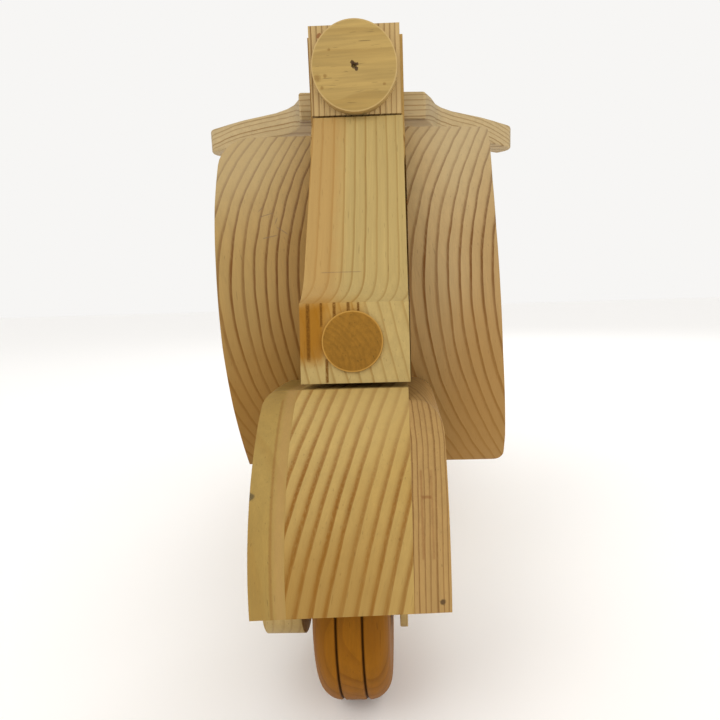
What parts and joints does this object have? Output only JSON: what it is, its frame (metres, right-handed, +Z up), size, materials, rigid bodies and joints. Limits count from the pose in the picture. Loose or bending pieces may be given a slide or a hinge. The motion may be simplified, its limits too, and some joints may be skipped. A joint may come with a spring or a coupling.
{
  "type": "wooden model scooter",
  "caption": "Wooden step-through scooter model of sawn pine boards and dowels, with rolling wheels, a turning handlebar and a folding centre stand.",
  "frame": {"origin": "on the ground, midway along the scooter and midway across the handlebar's tips", "axes": "+Z up; +Y from the front wheel towards the rear wheel, so the scooter faces -Y; +X to the scooter's left side"},
  "size_m": [0.1982, 0.4555, 0.3052],
  "materials": {
    "pine": "planed, unfinished",
    "pine_pale": "planed, unfinished",
    "pine_amber": "planed, unfinished, darker board",
    "wheel_wood": "sanded, oiled",
    "dowel_wood": "turned dowel",
    "beech": "turned, sanded"
  },
  "bodies": {
    "frame": {"steering_column": "pine_pale", "spine": "pine_amber", "head_block": "pine", "headlamp": "pine_amber", "horn": "dowel_wood", "handlebar_pin": "dowel_wood", "handlebar_button": "beech", "shield_right": "pine", "shield_left": "pine", "mudguard_core": "pine_pale", "mudguard_cheek_right": "pine_pale", "mudguard_cheek_left": "pine", "fork_leg": "pine_pale", "fork_plate": "pine", "fork_shim": "pine", "front_axle": "dowel_wood", "front_washers": "beech", "floorboard": "pine", "body_core": "pine_amber", "cowl_right": "pine", "cowl_left": "pine", "seat": "pine_amber", "tail_lamp": "dowel_wood", "rear_stay_right": "pine", "rear_stay_left": "pine", "rear_axle": "dowel_wood", "rear_washers": "beech", "stand_bracket": "pine", "head_dowels": "dowel_wood", "column_dowels": "dowel_wood", "shield_dowels": "dowel_wood", "mudguard_dowels": "dowel_wood", "fork_dowels": "dowel_wood", "seat_dowels": "dowel_wood", "cowl_dowels": "dowel_wood", "floor_dowels": "dowel_wood", "stay_dowels": "dowel_wood"},
    "front_wheel": {"front_wheel_core": "wheel_wood", "front_wheel_right": "wheel_wood", "front_wheel_left": "wheel_wood"},
    "rear_wheel": {"rear_wheel_core": "wheel_wood", "rear_wheel_right": "wheel_wood", "rear_wheel_left": "wheel_wood"},
    "handlebar": {"handlebar": "pine"},
    "stand": {"stand_leg_right": "pine", "stand_leg_left": "pine", "stand_pin": "dowel_wood", "stand_rail": "dowel_wood"}
  },
  "joints": [
    {"name": "front_wheel_spin", "type": "hinge", "parent": "frame", "child": "front_wheel", "pos_m": [0, -0.171, 0.045], "axis": [1, 0, 0], "continuous": true},
    {"name": "rear_wheel_spin", "type": "hinge", "parent": "frame", "child": "rear_wheel", "pos_m": [0, 0.154, 0.045], "axis": [1, 0, 0], "continuous": true},
    {"name": "handlebar_turn", "type": "hinge", "parent": "frame", "child": "handlebar", "pos_m": [0, -0.052, 0.275], "axis": [0, 0, 1], "range_deg": [-15, 5]},
    {"name": "stand_fold", "type": "hinge", "parent": "frame", "child": "stand", "pos_m": [0, 0.034, 0.053], "axis": [1, 0, 0], "range_deg": [0, 85]}
  ]
}
